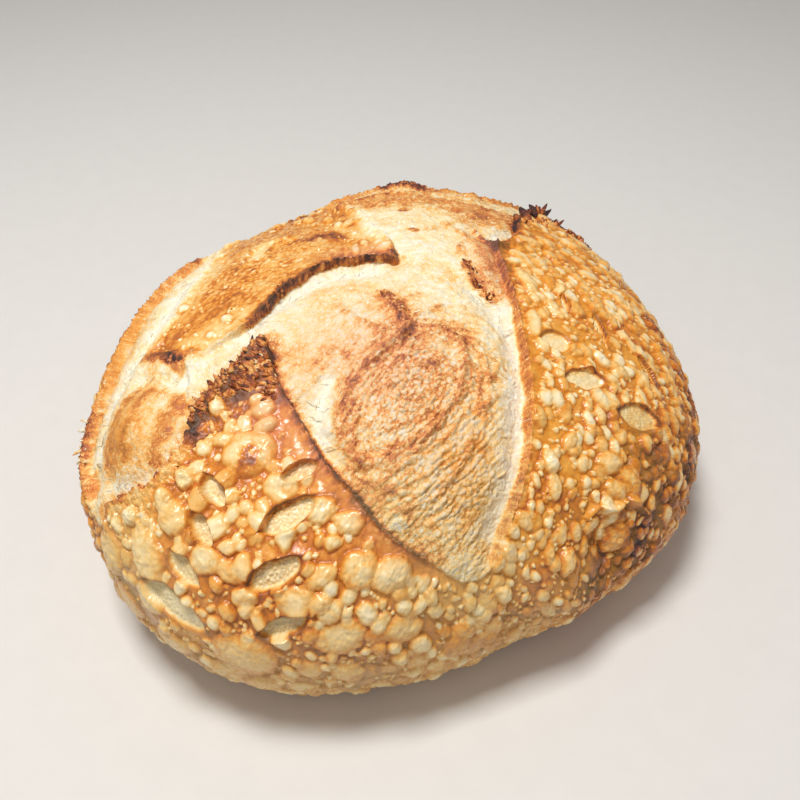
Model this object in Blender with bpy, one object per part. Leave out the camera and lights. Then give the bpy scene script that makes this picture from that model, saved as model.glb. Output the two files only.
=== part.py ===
"""A round sourdough loaf, baked free-standing and scored in a windmill of curved cuts.

The loaf is one solid. A plain dome comes first: a lobed plan outline, a rounded profile
and a flat base. The cuts then open it. On one side of each cut the crust lifts into a flap
that leans over the gap, and on the other side the crumb is sunk beside it. Low swellings
between the cuts finish the form.

The crust is described on a chart: the skin unrolled flat from the crown, with u to the
right and v to the back, so that a distance on the chart is close to a distance along the
crust. The origin is under the middle of the loaf, at the level it stands on.
"""

import math
from collections import namedtuple

import bmesh
import bpy
import numpy as np

MM = 0.001

# Driving dimensions, in metres
MEAN_RADIUS = 0.114
HEIGHT = 0.100
BELLY_HEIGHT = 0.034
CONTACT_SHARE = 0.74  # outline of the base over the outline at the belly
DOME_POWER = 2.15  # 2 is an ellipse, and more is squarer
CROWN_SHIFT = (-0.0095, -0.0015)  # how far the crown leans from the belly's middle
CRUST_LENGTH = 0.195  # along the crust from the crown to the base, which is the chart's radius
BASE_TRIM = 0.001  # cut off below to leave the base flat

# The plan outline's lobes: how many, their share of the radius, and where one points, in degrees
PLAN_LOBES = ((2, 0.078, 49.0), (3, 0.021, -27.0), (4, 0.023, -24.0))

# Mesh density
SPHERE_SUBDIVISIONS = 7
FACE_BUDGET = 9400
STEP_WIDTH = 3 * MM  # over which the skin steps from crumb up to flap
CRUST_SPAN = math.radians(146.0)  # the part of the sphere that becomes crust, and the rest is base
ROUTE_STEPS = 48
PROFILE_STEPS = 600

# A cut's route is on the chart, in millimetres, and the flap of crust lies on its left.
# lift is the flap's rise at the cut, reach is how far back that rise fades, drop and bloom are
# the same for the crumb, and overhang is how far the flap leans over the gap, in millimetres.
Cut = namedtuple("Cut", "route lift reach drop bloom overhang")

CUTS = {
    "front flap, right": Cut(
        ((23, -115), (8, -106), (-6, -92), (-19, -67), (-28, -47), (-31, -31)), 3.5, 15, 4, 9, 1.0
    ),
    "front flap, left": Cut(
        ((-32, -30), (-46, -47), (-53, -61), (-65, -80), (-78, -87)), 4, 13, 3.5, 9, 1.0
    ),
    "right flap": Cut(
        ((26, 40), (34, 25), (43, -4), (48, -41), (50, -65), (47, -87), (36, -113)), 4.5, 21, 5, 9, 2.0
    ),
    "left flap": Cut(((-47, -34), (-40, -17), (-28, 1), (-11, 11), (8, 9)), 4, 17, 5, 11, 3.0),
    "far left flap": Cut(((-96, -78), (-95, -59), (-88, -36), (-83, -10), (-76, 23)), 4, 11, 4, 8, 1.5),
    "back flap": Cut(((-59, 59), (-29, 68), (8, 63), (44, 49)), 4, 19, 4, 11, 1.5),
    "back right flap": Cut(((91, 91), (76, 67), (63, 42)), 4, 13, 3, 9, 1.0),
}

# Swellings on the chart, in millimetres: middle, half-widths, turn in degrees, height
Swell = namedtuple("Swell", "middle spread turn height")

SWELLS = {
    "bloom in the middle": Swell((19, -63), (21, 38), 8, 5.0),
    "tip of the front flap": Swell((-35, -38), (9, 11), -20, 4.0),
    "shoulder of the front flap": Swell((-28, -104), (32, 28), 0, 2.5),
    "crumb left of the front flap": Swell((-74, -49), (11, 25), 20, 3.5),
    "dent low on the right": Swell((87, -99), (15, 13), -40, -3.0),
    "swelling under the dent": Swell((74, -122), (21, 15), -30, 3.0),
    "back of the crown": Swell((0, 80), (38, 17), 0, 3.0),
}


def smooth_route(points):
    """A Catmull-Rom curve through the points, in metres on the chart."""
    knots = np.array(points, float) * MM
    knots = np.vstack([2 * knots[0] - knots[1], knots, 2 * knots[-1] - knots[-2]])
    spans = len(points) - 1
    place = np.linspace(0, spans, ROUTE_STEPS + 1)
    span = np.minimum(place.astype(int), spans - 1)
    t = (place - span)[:, None]
    before, start, end, after = (knots[span + k] for k in range(4))
    slope_start, slope_end = (end - before) / 2, (after - start) / 2
    return (
        (2 * t**3 - 3 * t**2 + 1) * start
        + (t**3 - 2 * t**2 + t) * slope_start
        + (3 * t**2 - 2 * t**3) * end
        + (t**3 - t**2) * slope_end
    )


def beside(route, chart):
    """For each chart point: its distance left of the route, how far round the ends it is, and the
    unit direction from the route's left side to its right."""
    starts, runs = route[:-1], np.diff(route, axis=0)
    lengths = np.linalg.norm(runs, axis=1)
    nearest = np.full(len(chart), np.inf)
    left, past = np.zeros(len(chart)), np.zeros(len(chart))
    rightwards = np.zeros_like(chart)
    for index, (start, run, length) in enumerate(zip(starts, runs, lengths)):
        along = (chart - start) @ run / length**2
        gap = chart - start - np.clip(along, 0, 1)[:, None] * run
        distance = np.linalg.norm(gap, axis=1)
        closer = distance < nearest
        normal = np.array([run[1], -run[0]]) / length
        nearest[closer] = distance[closer]
        left[closer] = -(gap @ normal)[closer]
        rightwards[closer] = normal
        before = np.maximum(-along, 0) if index == 0 else 0
        beyond = np.maximum(along - 1, 0) if index == len(runs) - 1 else 0
        past[closer] = np.broadcast_to((before + beyond) * length, len(chart))[closer]
    return left, past, rightwards


def skin_profile():
    """The dome's section from the crown round the belly to the base: distance along it as a share
    of the whole, radius as a share of the outline, and height."""
    steps = np.linspace(0, math.pi / 2, PROFILE_STEPS)
    power = 2 / DOME_POWER
    upper_radius = np.sin(steps) ** power
    upper_height = BELLY_HEIGHT + (HEIGHT - BELLY_HEIGHT) * np.cos(steps) ** power
    lower_radius = CONTACT_SHARE + (1 - CONTACT_SHARE) * np.cos(steps[1:])
    lower_height = BELLY_HEIGHT * (1 - np.sin(steps[1:]))
    radius = np.concatenate([upper_radius, lower_radius])
    height = np.concatenate([upper_height, lower_height])
    pieces = np.hypot(np.diff(radius * MEAN_RADIUS), np.diff(height))
    length = np.concatenate([[0], np.cumsum(pieces)])
    return length / length[-1], radius, height


def outline(azimuth):
    """The belly's radius at each azimuth."""
    lobes = sum(share * np.cos(count * (azimuth - math.radians(turn))) for count, share, turn in PLAN_LOBES)
    return MEAN_RADIUS * (1 + lobes)


def on_dome(chart):
    """Where points of the chart lie on the plain dome."""
    share, radius, height = skin_profile()
    azimuth = np.arctan2(chart[:, 1], chart[:, 0])
    down = np.minimum(np.linalg.norm(chart, axis=1) / CRUST_LENGTH, 1)
    reach = outline(azimuth) * np.interp(down, share, radius)
    level = np.interp(down, share, height)
    lean = np.clip((level - BELLY_HEIGHT) / (HEIGHT - BELLY_HEIGHT), 0, 1)
    return np.column_stack(
        [
            reach * np.cos(azimuth) + CROWN_SHIFT[0] * lean,
            reach * np.sin(azimuth) + CROWN_SHIFT[1] * lean,
            level,
        ]
    )


def dome_normals(chart):
    """Outward unit normals of the plain dome at points of the chart."""
    step = 0.5 * MM
    across = on_dome(chart + [step, 0]) - on_dome(chart - [step, 0])
    away = on_dome(chart + [0, step]) - on_dome(chart - [0, step])
    normals = np.cross(across, away)
    return normals / np.linalg.norm(normals, axis=1)[:, None]


def fade(distance, reach):
    """1 at a line, falling to 0 well beyond reach."""
    return np.exp(-((distance / reach) ** 2))


def step_up(left):
    """0 on a cut's crumb side and 1 on its flap, with a soft step between."""
    share = np.clip(left / STEP_WIDTH + 0.5, 0, 1)
    return share * share * (3 - 2 * share)


def shaped(chart):
    """The finished crust at points of the chart."""
    rise = np.zeros(len(chart))
    slide = np.zeros_like(chart)
    for cut in CUTS.values():
        left, past, rightwards = beside(smooth_route(cut.route), chart)
        strength = fade(past, 8 * MM)
        on_flap = step_up(left)
        flap = np.exp(-np.abs(left) / (cut.reach * MM)) * strength * on_flap
        crumb = np.exp(-np.abs(left) / (cut.bloom * MM)) * strength * (1 - on_flap)
        rise += (cut.lift * flap - cut.drop * crumb) * MM
        lean = fade(left, 6 * MM) * strength * on_flap
        slide += rightwards * (cut.overhang * MM * lean)[:, None]
    for swell in SWELLS.values():
        turn = math.radians(swell.turn)
        away = chart - np.array(swell.middle) * MM
        along = away @ [math.cos(turn), math.sin(turn)] / (swell.spread[0] * MM)
        across = away @ [-math.sin(turn), math.cos(turn)] / (swell.spread[1] * MM)
        rise += swell.height * MM * fade(np.hypot(along, across), 1)
    down = np.linalg.norm(chart, axis=1) / CRUST_LENGTH
    rise *= np.clip((1 - down) / 0.15, 0, 1)
    moved = chart + slide
    return on_dome(moved) + dome_normals(moved) * rise[:, None]


def loaf_material():
    """Golden crust: matt, with a little gloss."""
    material = bpy.data.materials.new("crust")
    material.use_nodes = True
    shader = material.node_tree.nodes["Principled BSDF"]
    shader.inputs["Base Color"].default_value = (0.52, 0.25, 0.07, 1)
    shader.inputs["Roughness"].default_value = 0.55
    shader.inputs["Metallic"].default_value = 0
    return material


def form_crust(mesh):
    """Moves a unit sphere's points: the upper part takes the crust's form and the rest the base."""
    ball = np.array([vertex.co for vertex in mesh.verts])
    azimuth = np.arctan2(ball[:, 1], ball[:, 0])
    angle = np.arccos(np.clip(ball[:, 2], -1, 1))
    reach = np.minimum(angle / CRUST_SPAN, 1) * CRUST_LENGTH
    places = shaped(reach[:, None] * np.column_stack([np.cos(azimuth), np.sin(azimuth)]))
    base = angle > CRUST_SPAN
    inwards = (math.pi - angle[base]) / (math.pi - CRUST_SPAN)
    places[base, :2] *= inwards[:, None]
    places[:, :2] -= (places[:, :2].min(axis=0) + places[:, :2].max(axis=0)) / 2
    places[:, 2] -= BASE_TRIM
    for vertex, place in zip(mesh.verts, places):
        vertex.co = place


def thinned(data, share):
    """The mesh with only this share of its faces, kept where the form bends."""
    rough = bpy.data.objects.new("rough", data)
    bpy.context.scene.collection.objects.link(rough)
    rough.modifiers.new("thin out", "DECIMATE").ratio = share
    evaluated = rough.evaluated_get(bpy.context.evaluated_depsgraph_get())
    thin = bpy.data.meshes.new_from_object(evaluated)
    bpy.data.objects.remove(rough)
    bpy.data.meshes.remove(data)
    return thin


def trim_base(data):
    """Slices the mesh level at the origin and closes it with one flat face."""
    mesh = bmesh.new()
    mesh.from_mesh(data)
    everything = mesh.verts[:] + mesh.edges[:] + mesh.faces[:]
    sliced = bmesh.ops.bisect_plane(
        mesh, geom=everything, plane_co=(0, 0, 0), plane_no=(0, 0, -1), clear_outer=True
    )
    rim = [piece for piece in sliced["geom_cut"] if isinstance(piece, bmesh.types.BMEdge)]
    bmesh.ops.contextual_create(mesh, geom=rim)
    bmesh.ops.recalc_face_normals(mesh, faces=mesh.faces[:])
    mesh.to_mesh(data)
    mesh.free()


def make_loaf(collection):
    """The loaf, from a sphere to the finished solid."""
    mesh = bmesh.new()
    bmesh.ops.create_icosphere(mesh, subdivisions=SPHERE_SUBDIVISIONS, radius=1)
    form_crust(mesh)
    faces = len(mesh.faces)
    dense = bpy.data.meshes.new("loaf")
    mesh.to_mesh(dense)
    mesh.free()
    data = thinned(dense, FACE_BUDGET / faces)
    trim_base(data)
    data.shade_smooth()
    data.materials.append(loaf_material())
    collection.objects.link(bpy.data.objects.new("loaf", data))


def main():
    for thing in list(bpy.data.objects):
        bpy.data.objects.remove(thing)
    collection = bpy.data.collections.new("sourdough loaf")
    bpy.context.scene.collection.children.link(collection)
    make_loaf(collection)


main()
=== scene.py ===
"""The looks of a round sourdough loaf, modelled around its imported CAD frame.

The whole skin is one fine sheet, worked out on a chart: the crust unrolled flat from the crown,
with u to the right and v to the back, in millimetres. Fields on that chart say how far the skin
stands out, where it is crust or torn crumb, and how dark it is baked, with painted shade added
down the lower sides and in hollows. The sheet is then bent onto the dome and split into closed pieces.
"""

import math
from collections import namedtuple

import bpy
import numpy as np
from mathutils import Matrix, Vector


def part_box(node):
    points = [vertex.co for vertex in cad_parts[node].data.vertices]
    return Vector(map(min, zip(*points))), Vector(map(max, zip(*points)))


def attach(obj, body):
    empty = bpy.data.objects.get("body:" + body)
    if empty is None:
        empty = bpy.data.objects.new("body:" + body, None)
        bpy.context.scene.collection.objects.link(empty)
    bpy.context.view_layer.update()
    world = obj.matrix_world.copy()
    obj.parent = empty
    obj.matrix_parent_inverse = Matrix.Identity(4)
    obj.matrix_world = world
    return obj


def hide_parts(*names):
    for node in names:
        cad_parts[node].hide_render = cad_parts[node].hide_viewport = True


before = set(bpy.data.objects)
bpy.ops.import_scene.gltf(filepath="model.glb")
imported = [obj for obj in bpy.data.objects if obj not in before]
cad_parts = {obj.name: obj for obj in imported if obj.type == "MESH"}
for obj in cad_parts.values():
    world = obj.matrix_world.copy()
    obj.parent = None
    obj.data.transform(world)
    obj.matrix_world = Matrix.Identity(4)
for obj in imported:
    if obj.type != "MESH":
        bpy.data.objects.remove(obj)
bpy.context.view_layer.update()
LOW, HIGH = (np.array(corner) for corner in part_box("loaf"))
MIDDLE = (LOW + HIGH) / 2

MM = 0.001

# The plain dome, in millimetres
MEAN_RADIUS = 114.0
HEIGHT = 100.0
BELLY_HEIGHT = 34.0
CONTACT_SHARE = 0.74
DOME_POWER = 2.15
CROWN_SHIFT = (-9.5, -1.5)
CRUST_LENGTH = 195.0  # the chart's radius, from the crown to the edge of the base
PLAN_LOBES = ((2, 0.078, 49.0), (3, 0.021, -27.0), (4, 0.023, -24.0))

# The sheet's grid, finer at the front and in the middle
GRID_SCALE = 1.0
FINE_ACROSS, COARSE_ACROSS, FINE_HALF_WIDTH, COARSE_HALF_WIDTH = 0.45, 0.84, 85.0, 130.0
FINE_AWAY, COARSE_AWAY, FINE_UNTIL, COARSE_FROM = 0.42, 0.95, 5.0, 80.0
PROFILE_STEPS = 800
FIRM_BASE = 0.955  # the share of the chart's radius past which the skin's relief dies away

# Cuts. Each route runs with its flap of crust on the left.
Cut = namedtuple("Cut", "route lift reach drop bloom overhang rag taper bare toast scorch")

CUTS = {
    "front right": Cut(
        ((15, -111), (7, -106), (-1, -99), (-7, -89), (-14, -79), (-21, -63), (-28, -46), (-31, -33)),
        2.0, 8, 1.6, 7, 0.6, 0.15, 10, 4.5, 0.52, 0.8,
    ),
    "front left": Cut(
        ((-31, -33), (-36, -41), (-41, -46), (-47, -50), (-52, -58), (-57, -67), (-64, -72), (-74, -74), (-84, -75)),
        2.6, 12, 2.0, 7, 0.6, 1.3, 1, 3.5, 0.62, 1.6,
    ),
    "right": Cut(
        ((42, 22), (45, 3), (47, -12), (49, -27), (51, -44), (51, -61), (50, -75), (46, -89), (37, -109)),
        2.4, 14, 2.2, 6, 0.3, 0.25, 14, 2.2, 0.42, 0.8,
    ),
    "right top": Cut(
        ((98, 88), (86, 76), (74, 67), (62, 68), (53, 58), (51, 42), (48, 30), (42, 22)),
        1.8, 10, 1.2, 8, 0.5, 0.5, 1, 2.5, 0.56, 3.0,
    ),
    "back": Cut(
        ((-23, 71), (5, 78), (30, 74), (52, 80), (72, 92), (90, 98)),
        0.9, 18, 0.6, 9, 0.2, 0.25, 1, 2.0, 0.44, 6.0,
    ),
    "left": Cut(
        ((-53, -33), (-47, -29), (-41, -23), (-36, -16), (-32, -9), (-27, -3), (-21, 3), (-14, 7), (-4, 8), (7, 7)),
        2.6, 14, 2.0, 8, 2.5, 0.2, 26, 2.0, 0.60, 0.7,
    ),
    "far left": Cut(
        ((-98, -77), (-104, -64), (-107, -52), (-104, -42), (-100, -32), (-98, -18), (-98, -3), (-96, 11),
         (-92, 24), (-88, 36), (-86, 50)),
        2.0, 6, 2.8, 9, 0.3, 0.3, 12, 1.5, 0.40, 5.0,
    ),
}

# Edges of crust that fade into the crumb without lifting
LEFT_FLAP_TOP = ((7, 7), (3, 22), (-3, 34), (-9, 52), (-23, 71))
LEFT_FLAP_SIDE = (
    (-70, 60), (-71, 42), (-71, 27), (-72, 8), (-75, -9), (-79, -20), (-75, -28), (-66, -31), (-53, -33)
)

# Deep white rifts in the crumb: route, depth and half-width
Rift = namedtuple("Rift", "route depth width")

RIFTS = (
    Rift(((36, -8), (42, -20), (47, -34), (48, -47), (48, -62), (46, -76), (42, -90), (37, -102)), 2.2, 4.8),
    Rift(((-13, -50), (-16, -59), (-16, -68), (-12, -77)), 2.0, 3.4),
    Rift(((-40, -27), (-35, -18), (-28, -12), (-22, -6), (-12, -1), (0, 1)), 2.0, 4.0),
    Rift(((-75, 40), (-76, 14), (-78, -2), (-81, -15), (-86, -26), (-91, -38), (-96, -50), (-97, -64)), 1.8, 4.2),
    Rift(((-58, -41), (-66, -38), (-76, -37)), 2.2, 4.0),
    Rift(((37, 30), (44, 33), (50, 40)), 2.2, 4.5),
    Rift(((-86, -68), (-76, -71), (-66, -70)), 1.0, 3.0),
)

# Swellings: middle, half-widths, turn in degrees, height in millimetres
Swell = namedtuple("Swell", "middle spread turn height")

SWELLS = (
    Swell((12, -60), (26, 36), 8, 4.5),
    Swell((-35, -39), (7, 10), -20, 3.0),
    Swell((-28, -104), (32, 28), 0, 2.0),
    Swell((-75, -54), (11, 14), 30, 4.0),
    Swell((-60, -57), (4, 9), -18, 2.0),
    Swell((84, -100), (12, 10), -30, -5.0),
    Swell((74, -124), (21, 13), -30, 2.0),
    Swell((0, 76), (30, 14), 0, 2.0),
    Swell((7, 76), (8, 4), 5, 3.0),
    Swell((37, 12), (6, 16), 10, 2.5),
)
BLOOM = SWELLS[0]
LOWER_BLOOM = Swell((22, -90), (24, 22), 0, 0)
RING = Swell((11, -58), (26, 15), 47, 0)  # the oval fold in the middle of the bloom
RING_REACH, CELLS_ROUND = 19.0, 28  # its mean radius, and the number of cells round it

# Raised strands of gluten and folds: route, half-width, height and how much darker they are baked
Strand = namedtuple("Strand", "route width height change")

STRANDS = (
    Strand(((20, -34), (25, -34), (29, -40), (30, -46), (29, -52), (26, -61), (19, -70), (11, -76), (3, -80),
            (-5, -79)), 1.5, 1.0, 0.22),
    Strand(((-5, -79), (-8, -74), (-8, -68), (-7, -63), (-8, -58), (-6, -52)), 1.9, 0.8, 0.18),
    Strand(((29, -51), (23, -50), (17, -51), (11, -52), (7, -55), (4, -57)), 1.1, 0.6, 0.16),
    Strand(((33, -36), (35, -40), (37, -48), (38, -56), (36, -61), (35, -67)), 1.1, 0.7, 0.16),
    Strand(((4, -16), (8, -23), (10, -29), (11, -34), (9, -38)), 2.0, 1.2, 0.34),
    Strand(((11, -18), (15, -15), (18, -16)), 1.2, 0.6, 0.30),
    Strand(((12, -30), (16, -27), (19, -25), (23, -19)), 0.8, 0.5, 0.26),
    Strand(((10, -38), (4, -42), (1, -45), (-3, -48)), 1.5, 1.2, 0.30),
    Strand(((7, -46), (12, -49), (18, -49), (24, -48)), 0.8, 0.5, 0.18),
    Strand(((-10, -19), (-6, -26), (-2, -30), (3, -34)), 1.3, 0.8, 0.26),
    Strand(((-17, -42), (-13, -39), (-10, -39), (-8, -42)), 1.1, 0.7, 0.28),
    Strand(((-17, -50), (-15, -44), (-12, -42)), 0.8, 0.5, 0.22),
    Strand(((-7, -42), (-5, -37), (-1, -36)), 0.8, 0.4, 0.14),
    Strand(((5, -83), (12, -78), (17, -73), (21, -68)), 0.7, 0.5, 0.22),
    Strand(((31, -72), (28, -80), (24, -85), (19, -90)), 1.4, 0.6, 0.20),
    Strand(((37, -66), (34, -71), (34, -79)), 1.0, 0.4, 0.16),
    Strand(((-6, -65), (-4, -61), (0, -58), (6, -57)), 0.8, 0.4, 0.14),
    Strand(((28, -61), (31, -58), (34, -60), (34, -65), (31, -68)), 0.5, 0.6, 0.12),
    Strand(((-51, 14), (-51, 23), (-49, 28), (-43, 33), (-36, 35)), 1.0, 0.9, 0.10),
    Strand(((-41, 15), (-43, 23), (-41, 29), (-34, 34)), 0.8, 0.8, 0.12),
    Strand(((33, 31), (36, 27), (39, 23), (43, 21), (48, 24), (53, 27)), 1.2, 1.6, 0.34),
    Strand(((23, 34), (27, 29), (30, 24), (29, 16)), 1.4, 0.8, 0.30),
    Strand(((29, 16), (31, 8), (31, 1), (35, -8), (41, -14)), 1.2, 0.8, 0.22),
    Strand(((-57, -36), (-54, -46), (-52, -54)), 1.2, 1.0, -0.05),
    Strand(((74, -92), (77, -87), (83, -86), (89, -80), (98, -82)), 1.4, 1.8, -0.14),
    Strand(((-20, 60), (-4, 66), (14, 68), (34, 64)), 1.0, 0.6, 0.14),
    Strand(((-10, 52), (6, 57), (22, 58), (40, 56)), 1.0, 0.5, 0.12),
)

# Leaf-shaped score marks: middle, half-length, half-width, turn in degrees
Leaf = namedtuple("Leaf", "middle length width turn depth", defaults=[1.0])

LEAVES = (
    Leaf((-22, -77), 5.0, 3.2, 12),
    Leaf((-26, -89), 8.6, 4.4, 24),
    Leaf((-32, -104), 8.6, 4.6, 14),
    Leaf((-34, -120), 8.6, 3.6, 8),
    Leaf((-45, -78), 5.4, 3.3, -62),
    Leaf((-50, -88), 6.0, 3.5, -66),
    Leaf((-59, -98), 7.2, 3.8, -58, 0.7),
    Leaf((-68, -108), 13.0, 5.0, -52, 0.5),
    Leaf((60, -27), 5.2, 4.6, 12, 0.35),
    Leaf((70, -40), 7.2, 4.4, 20, 0.4),
    Leaf((91, -47), 8.6, 5.4, 14, 0.4),
    Leaf((79, -13), 9.5, 2.2, -79, 0.7),
    Leaf((66, -5), 4.8, 2.0, -86, 0.7),
    Leaf((97, -23), 6.5, 2.2, -55, 0.7),
)

# Blisters: middle, half-length, half-width, turn in degrees, height, and how far they are from round;
# these are the big ones
Blister = namedtuple("Blister", "middle length width turn height lobes", defaults=(1.0,))

BIG_BLISTERS = (
    Blister((-35, -69), 7.6, 7.0, 0, 2.8, 0.3),
    Blister((-31, -56), 3.6, 3.4, 0, 2.0, 0.4),
    Blister((-27, -80), 5.2, 4.6, 30, 2.2),
    Blister((-52, -129), 11.0, 9.5, 20, 2.2),
    Blister((-71, -92), 5.4, 8.6, 5, 3.0),
    Blister((-59, -84), 5.0, 5.0, 0, 2.6),
    Blister((-50, -97), 5.5, 4.4, -35, 2.6),
    Blister((-8, -109), 5.6, 5.8, 10, 3.0),
    Blister((1, -112), 6.2, 5.2, 0, 3.0),
    Blister((-17, -90), 4.4, 3.8, -20, 2.2),
    Blister((-10, -95), 4.8, 3.8, -30, 2.2),
    Blister((-19, -108), 4.6, 3.4, 20, 2.2),
    Blister((-27, -113), 6.0, 3.6, 10, 1.8),
    Blister((-42, -109), 4.0, 3.4, 0, 1.9),
    Blister((52, 1), 3.4, 8.0, 24, 2.6),
    Blister((50, 17), 3.0, 4.6, 40, 2.2),
    Blister((58, 16), 3.6, 3.0, 0, 2.2),
    Blister((53, -21), 2.6, 7.0, 0, 1.2),
    Blister((80, -70), 5.6, 4.4, 30, 2.2),
    Blister((88, -74), 6.0, 4.6, -60, 2.6),
    Blister((83, -79), 4.6, 3.6, 10, 2.2),
    Blister((90, -96), 5.0, 6.6, -20, 3.4),
    Blister((66, -109), 3.2, 5.8, -10, 2.6),
    Blister((79, -46), 3.2, 4.6, -10, 2.2),
    Blister((-78, -104), 5.0, 6.0, 0, 1.6),
    Blister((-92, -88), 9.0, 7.0, 30, 2.2),
    Blister((-100, -104), 8.0, 7.0, 10, 1.8),
    Blister((-84, -122), 9.0, 6.5, 30, 2.0),
    Blister((-66, -136), 8.0, 6.0, 10, 1.8),
    Blister((-18, -128), 8.0, 6.0, 10, 1.6),
    Blister((2, -130), 6.5, 5.6, 0, 1.6),
)


# ---------------------------------------------------------------- numbers


def soft_step(value, start, end):
    """0 at start and 1 at end, smooth between; start may be the larger."""
    share = np.clip((value - start) / (end - start), 0, 1)
    return share * share * (3 - 2 * share)


def fade(distance, reach):
    """1 at zero distance, falling to 0 well beyond reach."""
    return np.exp(-((distance / reach) ** 2))


def shuffled_table(seed):
    return np.tile(np.random.default_rng(seed).permutation(256), 3).astype(np.int32)


def gradient_noise(places, seed):
    """Smooth noise from about -1 to 1 at three coordinates."""
    order = shuffled_table(seed)
    slopes = np.random.default_rng(seed + 1).normal(size=(3, 256)).astype(np.float32)
    slopes /= np.linalg.norm(slopes, axis=0)
    cells = [np.floor(place).astype(np.int32) for place in places]
    shares = [(place - cell).astype(np.float32) for place, cell in zip(places, cells)]
    eased = [share**3 * (share * (share * 6 - 15) + 10) for share in shares]
    cells = [cell & 255 for cell in cells]
    total = np.zeros(shares[0].shape, np.float32)
    for corner in np.ndindex(2, 2, 2):
        slot = order[cells[0] + corner[0]] + cells[1] + corner[1]
        slot = order[order[slot] + cells[2] + corner[2]]
        weight, slope = 1, 0
        for axis in range(3):
            weight = weight * (eased[axis] if corner[axis] else 1 - eased[axis])
            slope = slope + slopes[axis][slot] * (shares[axis] - corner[axis])
        total += weight * slope
    return 1.7 * total


def layered(places, wavelength, seed, layers=3, gain=0.5):
    """Noise of several sizes, from wavelength down."""
    total, weight, whole = 0, 1.0, 0.0
    for layer in range(layers):
        total = total + weight * gradient_noise([p / wavelength + 7.3 * layer for p in places], seed + 2 * layer)
        whole += weight
        weight *= gain
        wavelength *= 0.47
    return total / whole


def cell_pattern(x, y, seed, wrap=256):
    """Cells about 1 across: the distance to the nearest middle and to the next one. y repeats at wrap."""
    order = shuffled_table(seed)
    jitter = np.random.default_rng(seed + 1).uniform(0.1, 0.9, (2, 256)).astype(np.float32)
    column, row = np.floor(x).astype(np.int32), np.floor(y).astype(np.int32)
    first = np.full(x.shape, 9, np.float32)
    second = np.full(x.shape, 9, np.float32)
    for across in (-1, 0, 1):
        for up in (-1, 0, 1):
            slot = order[order[(column + across) & 255] + (row + up) % wrap]
            distance = np.hypot(column + across + jitter[0][slot] - x, row + up + jitter[1][slot] - y)
            second = np.minimum(second, np.maximum(first, distance))
            first = np.minimum(first, distance)
    return first, second


def smooth_route(points, per_span=6):
    """A Catmull-Rom curve through the points."""
    knots = np.array(points, float)
    knots = np.vstack([2 * knots[0] - knots[1], knots, 2 * knots[-1] - knots[-2]])
    spans = len(points) - 1
    place = np.linspace(0, spans, spans * per_span + 1)
    span = np.minimum(place.astype(int), spans - 1)
    t = (place - span)[:, None]
    before, start, end, after = (knots[span + k] for k in range(4))
    slope_start, slope_end = (end - before) / 2, (after - start) / 2
    return (
        (2 * t**3 - 3 * t**2 + 1) * start
        + (t**3 - 2 * t**2 + t) * slope_start
        + (3 * t**2 - 2 * t**3) * end
        + (t**3 - t**2) * slope_end
    ).astype(np.float32)


Beside = namedtuple("Beside", "distance along past right_u right_v")


def beside(line, u, v):
    """For each point: its distance from the line, how far along the line its nearest place is, how far
    it lies past the line's ends, and the direction to the line's right there."""
    starts, runs = line[:-1], np.diff(line, axis=0)
    lengths = np.linalg.norm(runs, axis=1)
    begun = np.concatenate([[0], np.cumsum(lengths)])
    nearest = np.full(u.shape, 1e9, np.float32)
    along, past, right_u, right_v = (np.zeros(u.shape, np.float32) for _ in range(4))
    last = len(runs) - 1
    for index, (start, run, length) in enumerate(zip(starts, runs, lengths)):
        share = ((u - start[0]) * run[0] + (v - start[1]) * run[1]) / length**2
        held = np.clip(share, 0, 1)
        distance = np.hypot(u - start[0] - held * run[0], v - start[1] - held * run[1])
        closer = distance < nearest
        nearest[closer] = distance[closer]
        along[closer] = begun[index] + held[closer] * length
        right_u[closer], right_v[closer] = run[1] / length, -run[0] / length
        past[closer] = 0
        if index in (0, last):
            over = -share if index == 0 else share - 1
            past[closer] = np.maximum(over[closer] * length, 0)
    return Beside(nearest, along, past, right_u, right_v)


def inside(outline, u, v):
    """True for points inside a closed outline."""
    within = np.zeros(u.shape, bool)
    for (u0, v0), (u1, v1) in zip(outline, np.roll(outline, -1, axis=0)):
        if v0 != v1:
            within ^= ((v0 > v) != (v1 > v)) & (u < (u1 - u0) * (v - v0) / (v1 - v0) + u0)
    return within


def turned(u, v, middle, spread, turn=0.0):
    """Places along and across a turned frame, in shares of spread."""
    angle = math.radians(turn)
    du, dv = u - middle[0], v - middle[1]
    along = (du * math.cos(angle) + dv * math.sin(angle)) / spread[0]
    across = (dv * math.cos(angle) - du * math.sin(angle)) / spread[1]
    return along, across


def ellipse(u, v, middle, spread, turn=0.0):
    """Distance from the middle of a turned ellipse, 1 on its rim."""
    return np.hypot(*turned(u, v, middle, spread, turn))


# ---------------------------------------------------------------- the dome


def skin_profile():
    """The dome's section: distance along it as a share of the whole, radius share and height."""
    steps = np.linspace(0, math.pi / 2, PROFILE_STEPS)
    power = 2 / DOME_POWER
    upper_radius = np.sin(steps) ** power
    upper_height = BELLY_HEIGHT + (HEIGHT - BELLY_HEIGHT) * np.cos(steps).clip(0) ** power
    lower_radius = CONTACT_SHARE + (1 - CONTACT_SHARE) * np.cos(steps[1:])
    lower_height = BELLY_HEIGHT * (1 - np.sin(steps[1:]))
    radius = np.concatenate([upper_radius, lower_radius])
    height = np.concatenate([upper_height, lower_height])
    pieces = np.hypot(np.diff(radius * MEAN_RADIUS), np.diff(height))
    length = np.concatenate([[0], np.cumsum(pieces)])
    return length / length[-1], radius, height


PROFILE = skin_profile()


def outline_radius(azimuth):
    lobes = sum(share * np.cos(count * (azimuth - math.radians(turn))) for count, share, turn in PLAN_LOBES)
    return MEAN_RADIUS * (1 + lobes)


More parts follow.
